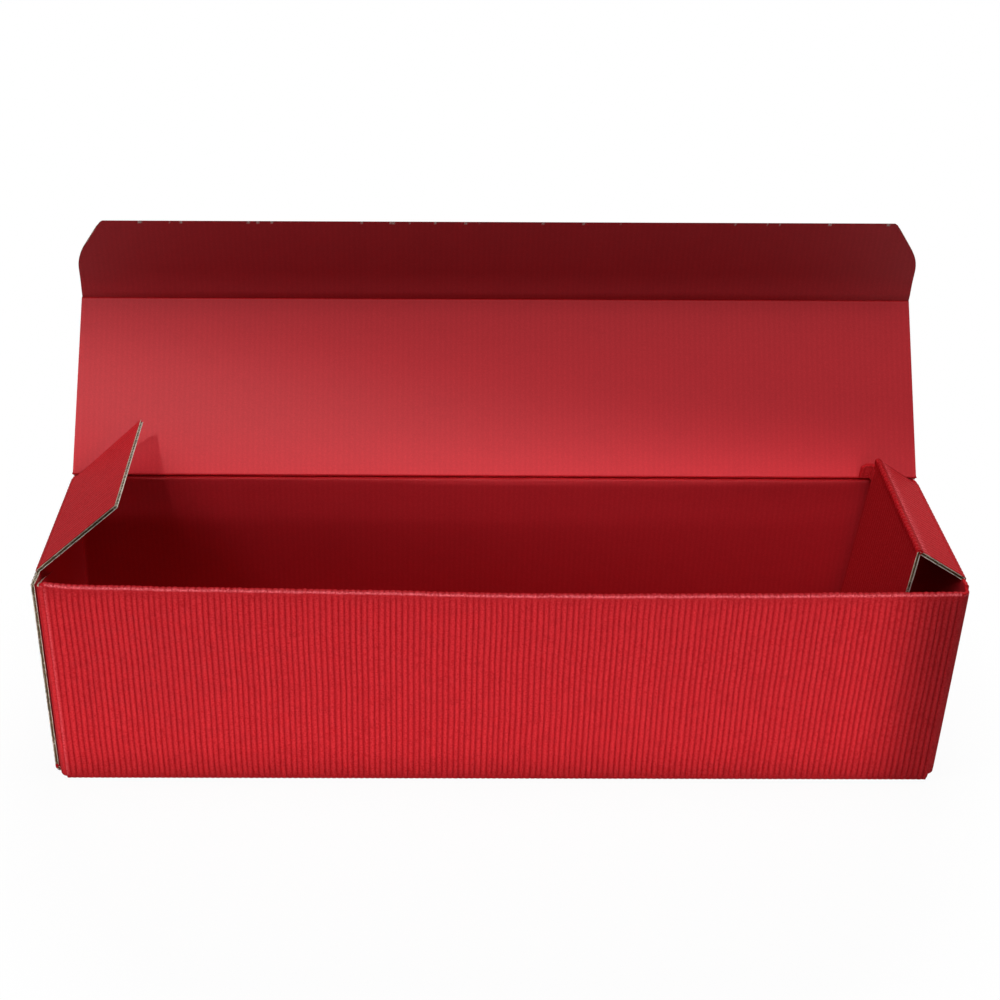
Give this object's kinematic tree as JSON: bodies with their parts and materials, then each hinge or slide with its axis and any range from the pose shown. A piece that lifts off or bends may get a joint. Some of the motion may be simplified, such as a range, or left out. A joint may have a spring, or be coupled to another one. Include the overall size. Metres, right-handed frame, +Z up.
{
  "type": "shipping box",
  "caption": "Long fluted cardboard box for one bottle, lid open, with a tuck flap, end flaps and a hollow folded cushion at one end.",
  "frame": {"origin": "centre of the underside, between the front and back walls and between the end walls", "axes": "+Z up out of the box's mouth, +X along its length towards the cushion end, +Y from the front wall to the lid's hinge"},
  "size_m": [0.384, 0.1395, 0.2069],
  "materials": {
    "board": "matt red-dyed paper over fine corrugated board"
  },
  "bodies": {
    "box_body": {"box_body": "board"},
    "lid": {"lid": "board"},
    "tuck_flap": {"tuck_flap": "board"},
    "left_end_flap": {"left_end_flap": "board"},
    "right_end_flap": {"right_end_flap": "board"},
    "cushion_wall": {"cushion_wall": "board"}
  },
  "joints": [
    {"name": "lid_hinge", "type": "hinge", "parent": "box_body", "child": "lid", "pos_m": [0, 0.0439, 0.1023], "axis": [-1, 0, 0], "range_deg": [-124, 77.5]},
    {"name": "tuck_hinge", "type": "hinge", "parent": "lid", "child": "tuck_flap", "pos_m": [0, 0.09342, 0.16684], "axis": [-1, 0, 0], "range_deg": [-47.5, 46]},
    {"name": "left_flap_hinge", "type": "hinge", "parent": "box_body", "child": "left_end_flap", "pos_m": [-0.19065, 0, 0.1006], "axis": [0, -1, 0], "range_deg": [-67, 42]},
    {"name": "right_flap_hinge", "type": "hinge", "parent": "box_body", "child": "right_end_flap", "pos_m": [0.19065, 0, 0.1006], "axis": [0, 1, 0], "range_deg": [-39.5, 24.5]},
    {"name": "cushion_wall_hinge", "type": "hinge", "parent": "right_end_flap", "child": "cushion_wall", "pos_m": [0.17045, 0, 0.11357], "axis": [0, 1, 0], "range_deg": [-22.5, 36]}
  ],
  "couplings": [
    {"joint": "left_flap_hinge", "follows": "lid_hinge", "ratio": 0.54},
    {"joint": "right_flap_hinge", "follows": "lid_hinge", "ratio": 0.316},
    {"joint": "cushion_wall_hinge", "follows": "lid_hinge", "ratio": -0.286}
  ]
}
